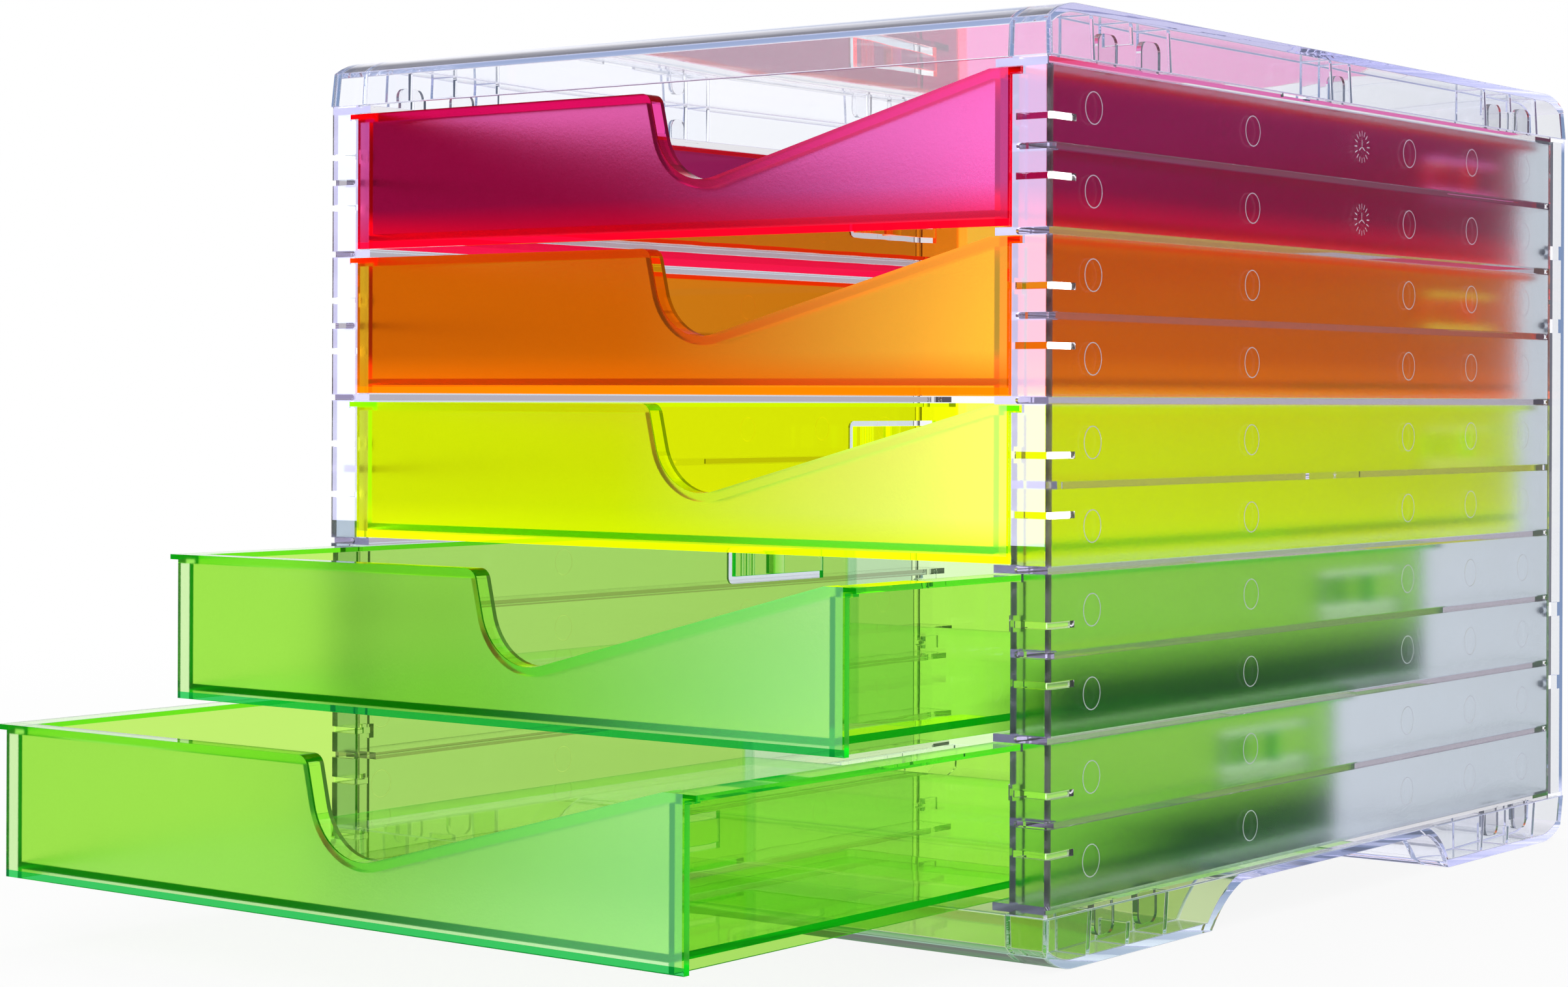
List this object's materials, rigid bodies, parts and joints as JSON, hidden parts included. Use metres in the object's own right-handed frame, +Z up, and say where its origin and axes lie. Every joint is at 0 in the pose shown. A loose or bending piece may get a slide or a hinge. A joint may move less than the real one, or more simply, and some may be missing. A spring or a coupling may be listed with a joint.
{
  "type": "plastic drawer tower",
  "caption": "Clear plastic tower of shallow sliding drawers with finger notches, two drawers standing open, case of clipped panels on hollow feet.",
  "frame": {"origin": "middle of the front foot's flat sole, on the surface that the tower stands on", "axes": "+X to the right seen from the front, +Y to the back, +Z up"},
  "size_m": [0.27, 0.474, 0.26],
  "materials": {
    "case_clear": "clear polished plastic with a faint cool tint",
    "case_frosted": "clear plastic, finely frosted on its fields",
    "drawer_crimson": "translucent crimson plastic, frosted front field and polished edges",
    "drawer_orange": "translucent orange plastic, frosted front field and polished edges",
    "drawer_lime": "translucent yellow-green plastic, frosted front field and polished edges",
    "drawer_green": "translucent green plastic, frosted front field and polished edges"
  },
  "bodies": {
    "case": {"top_cover": "case_clear", "base": "case_clear", "left_side": "case_frosted", "right_side": "case_frosted", "back_panel": "case_clear"},
    "drawer_1": {"drawer_1": "drawer_crimson"},
    "drawer_1_left_tongue": {"drawer_1_left_tongue": "drawer_crimson"},
    "drawer_1_right_tongue": {"drawer_1_right_tongue": "drawer_crimson"},
    "drawer_2": {"drawer_2": "drawer_orange"},
    "drawer_2_left_tongue": {"drawer_2_left_tongue": "drawer_orange"},
    "drawer_2_right_tongue": {"drawer_2_right_tongue": "drawer_orange"},
    "drawer_3": {"drawer_3": "drawer_lime"},
    "drawer_3_left_tongue": {"drawer_3_left_tongue": "drawer_lime"},
    "drawer_3_right_tongue": {"drawer_3_right_tongue": "drawer_lime"},
    "drawer_4": {"drawer_4": "drawer_green"},
    "drawer_4_left_tongue": {"drawer_4_left_tongue": "drawer_green"},
    "drawer_4_right_tongue": {"drawer_4_right_tongue": "drawer_green"},
    "drawer_5": {"drawer_5": "drawer_green"},
    "drawer_5_left_tongue": {"drawer_5_left_tongue": "drawer_green"},
    "drawer_5_right_tongue": {"drawer_5_right_tongue": "drawer_green"}
  },
  "joints": [
    {"name": "drawer_1_slide", "type": "slide", "parent": "case", "child": "drawer_1", "axis": [0, -1, 0], "range_m": [0, 0.2781]},
    {"name": "drawer_1_left_tongue_flex", "type": "hinge", "parent": "drawer_1", "child": "drawer_1_left_tongue", "pos_m": [-0.11765, 0.26, 0.22885], "axis": [0, 0, 1], "range_deg": [0, 5], "stiffness_Nm_per_rad": 0.02},
    {"name": "drawer_1_right_tongue_flex", "type": "hinge", "parent": "drawer_1", "child": "drawer_1_right_tongue", "pos_m": [0.11765, 0.26, 0.22885], "axis": [0, 0, -1], "range_deg": [0, 5], "stiffness_Nm_per_rad": 0.02},
    {"name": "drawer_2_slide", "type": "slide", "parent": "case", "child": "drawer_2", "axis": [0, -1, 0], "range_m": [0, 0.2781]},
    {"name": "drawer_2_left_tongue_flex", "type": "hinge", "parent": "drawer_2", "child": "drawer_2_left_tongue", "pos_m": [-0.11765, 0.26, 0.18355], "axis": [0, 0, 1], "range_deg": [0, 5], "stiffness_Nm_per_rad": 0.02},
    {"name": "drawer_2_right_tongue_flex", "type": "hinge", "parent": "drawer_2", "child": "drawer_2_right_tongue", "pos_m": [0.11765, 0.26, 0.18355], "axis": [0, 0, -1], "range_deg": [0, 5], "stiffness_Nm_per_rad": 0.02},
    {"name": "drawer_3_slide", "type": "slide", "parent": "case", "child": "drawer_3", "axis": [0, -1, 0], "range_m": [0, 0.2781]},
    {"name": "drawer_3_left_tongue_flex", "type": "hinge", "parent": "drawer_3", "child": "drawer_3_left_tongue", "pos_m": [-0.11765, 0.26, 0.13825], "axis": [0, 0, 1], "range_deg": [0, 5], "stiffness_Nm_per_rad": 0.02},
    {"name": "drawer_3_right_tongue_flex", "type": "hinge", "parent": "drawer_3", "child": "drawer_3_right_tongue", "pos_m": [0.11765, 0.26, 0.13825], "axis": [0, 0, -1], "range_deg": [0, 5], "stiffness_Nm_per_rad": 0.02},
    {"name": "drawer_4_slide", "type": "slide", "parent": "case", "child": "drawer_4", "axis": [0, -1, 0], "range_m": [-0.074, 0.2041]},
    {"name": "drawer_4_left_tongue_flex", "type": "hinge", "parent": "drawer_4", "child": "drawer_4_left_tongue", "pos_m": [-0.11765, 0.186, 0.09295], "axis": [0, 0, 1], "range_deg": [0, 5], "stiffness_Nm_per_rad": 0.02},
    {"name": "drawer_4_right_tongue_flex", "type": "hinge", "parent": "drawer_4", "child": "drawer_4_right_tongue", "pos_m": [0.11765, 0.186, 0.09295], "axis": [0, 0, -1], "range_deg": [0, 5], "stiffness_Nm_per_rad": 0.02},
    {"name": "drawer_5_slide", "type": "slide", "parent": "case", "child": "drawer_5", "axis": [0, -1, 0], "range_m": [-0.137, 0.1411]},
    {"name": "drawer_5_left_tongue_flex", "type": "hinge", "parent": "drawer_5", "child": "drawer_5_left_tongue", "pos_m": [-0.11765, 0.123, 0.04765], "axis": [0, 0, 1], "range_deg": [0, 5], "stiffness_Nm_per_rad": 0.02},
    {"name": "drawer_5_right_tongue_flex", "type": "hinge", "parent": "drawer_5", "child": "drawer_5_right_tongue", "pos_m": [0.11765, 0.123, 0.04765], "axis": [0, 0, -1], "range_deg": [0, 5], "stiffness_Nm_per_rad": 0.02}
  ]
}
